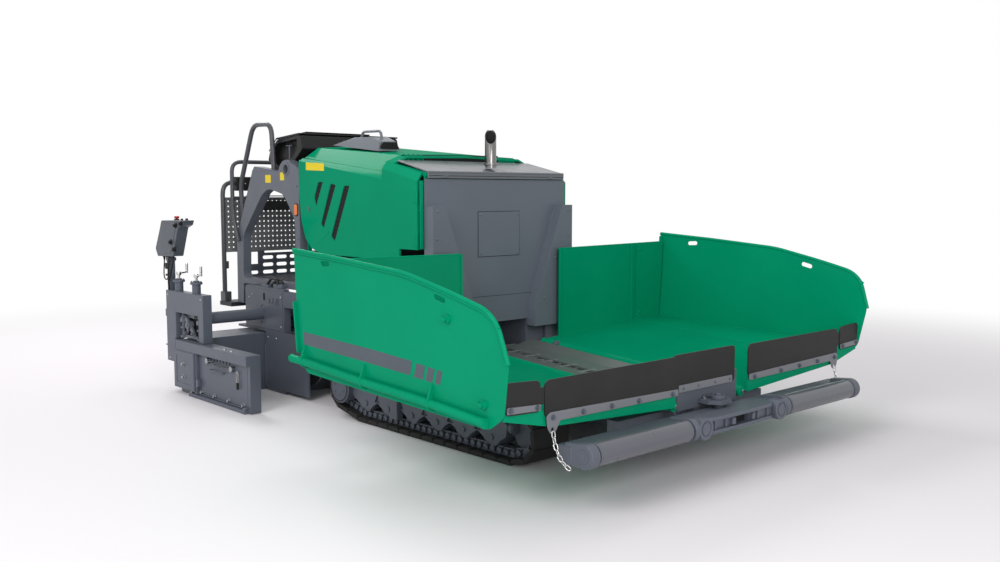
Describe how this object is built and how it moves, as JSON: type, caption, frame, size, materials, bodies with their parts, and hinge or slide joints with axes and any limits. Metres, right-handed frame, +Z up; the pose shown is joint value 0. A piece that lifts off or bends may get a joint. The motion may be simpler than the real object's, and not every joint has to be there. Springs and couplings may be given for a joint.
{
  "type": "asphalt paver",
  "caption": "Compact tracked asphalt paver with a folding two-wing hopper, hinged engine doors, operator's platform and a screed with sliding extensions.",
  "frame": {"origin": "ground level, at the middle of the overall length and width", "axes": "+Z up; -Y to the hopper, so +Y runs back to the screed; +X to the machine's left"},
  "size_m": [2.7844, 3.92, 1.7497],
  "materials": {
    "green_paint": "gloss",
    "grey_paint": "semi-gloss",
    "light_grey_paint": "gloss",
    "dark_grey_paint": "satin",
    "black_plastic": "satin",
    "rubber": "matt",
    "steel": "polished"
  },
  "bodies": {
    "chassis": {"chassis_frame": "grey_paint", "conveyor": "dark_grey_paint", "engine_block": "dark_grey_paint", "front_plate": "grey_paint", "front_lid": "light_grey_paint", "hood_top": "green_paint", "exhaust_pipe": "steel", "intake_cover": "light_grey_paint", "track_left": "rubber", "track_right": "rubber", "track_frame_left": "grey_paint", "track_frame_right": "grey_paint", "flap_centre": "rubber", "flap_strap_centre": "grey_paint", "side_frame_left": "grey_paint", "side_frame_right": "grey_paint", "platform_deck": "dark_grey_paint", "back_rest": "grey_paint", "operator_console": "black_plastic"},
    "push_beam": {"push_beam": "grey_paint"},
    "roller_left": {"push_roller_left": "grey_paint"},
    "roller_right": {"push_roller_right": "grey_paint"},
    "wing_left": {"hopper_floor_left": "green_paint", "hopper_wall_left": "green_paint", "hopper_rear_left": "green_paint", "flap_left": "rubber", "flap_strap_left": "grey_paint"},
    "wing_right": {"hopper_floor_right": "green_paint", "hopper_wall_right": "green_paint", "hopper_rear_right": "green_paint", "flap_right": "rubber", "flap_strap_right": "grey_paint"},
    "screed": {"screed_body": "dark_grey_paint", "tow_arm_left": "grey_paint", "tow_arm_right": "grey_paint", "walkway": "dark_grey_paint", "rear_guard": "grey_paint"},
    "extension_left": {"extension_body_left": "dark_grey_paint", "extension_frame_left": "dark_grey_paint", "end_plate_left": "dark_grey_paint", "control_box_left": "dark_grey_paint", "control_cable_left": "rubber"},
    "extension_right": {"extension_body_right": "dark_grey_paint", "extension_frame_right": "dark_grey_paint", "end_plate_right": "dark_grey_paint", "control_box_right": "dark_grey_paint", "control_cable_right": "rubber"},
    "auger_left": {"auger_left": "dark_grey_paint"},
    "auger_right": {"auger_right": "dark_grey_paint"},
    "door_left": {"hood_door_left": "green_paint"},
    "door_right": {"hood_door_right": "green_paint"}
  },
  "joints": [
    {"name": "wing_fold_left", "type": "hinge", "parent": "chassis", "child": "wing_left", "pos_m": [0.264, -1.778, 0.318], "axis": [0, -0.9976, -0.0698], "range_deg": [0, 65]},
    {"name": "wing_fold_right", "type": "hinge", "parent": "chassis", "child": "wing_right", "pos_m": [-0.264, -1.778, 0.318], "axis": [0, 0.9976, 0.0698], "range_deg": [0, 65]},
    {"name": "push_beam_swing", "type": "hinge", "parent": "chassis", "child": "push_beam", "pos_m": [0, -1.798, 0.26], "axis": [0, 0, 1], "range_deg": [-5, 5]},
    {"name": "roller_spin_left", "type": "hinge", "parent": "push_beam", "child": "roller_left", "pos_m": [0.687, -1.908, 0.26], "axis": [1, 0, 0], "continuous": true},
    {"name": "roller_spin_right", "type": "hinge", "parent": "push_beam", "child": "roller_right", "pos_m": [-0.687, -1.908, 0.26], "axis": [1, 0, 0], "continuous": true},
    {"name": "screed_lift", "type": "hinge", "parent": "chassis", "child": "screed", "pos_m": [0, -0.218, 0.61], "axis": [1, 0, 0], "range_deg": [0, 4]},
    {"name": "extend_left", "type": "slide", "parent": "screed", "child": "extension_left", "axis": [1, 0, 0], "range_m": [-0.37, 0.11]},
    {"name": "extend_right", "type": "slide", "parent": "screed", "child": "extension_right", "axis": [-1, 0, 0], "range_m": [-0.37, 0.11]},
    {"name": "auger_spin_left", "type": "hinge", "parent": "chassis", "child": "auger_left", "pos_m": [0.3, 0.927, 0.19], "axis": [1, 0, 0], "continuous": true},
    {"name": "auger_spin_right", "type": "hinge", "parent": "chassis", "child": "auger_right", "pos_m": [-0.3, 0.927, 0.19], "axis": [1, 0, 0], "continuous": true},
    {"name": "hood_door_left_open", "type": "hinge", "parent": "chassis", "child": "door_left", "pos_m": [0.565, -0.25, 1.15], "axis": [0, 0, -1], "range_deg": [0, 90]},
    {"name": "hood_door_right_open", "type": "hinge", "parent": "chassis", "child": "door_right", "pos_m": [-0.565, -0.25, 1.15], "axis": [0, 0, 1], "range_deg": [0, 90]}
  ]
}
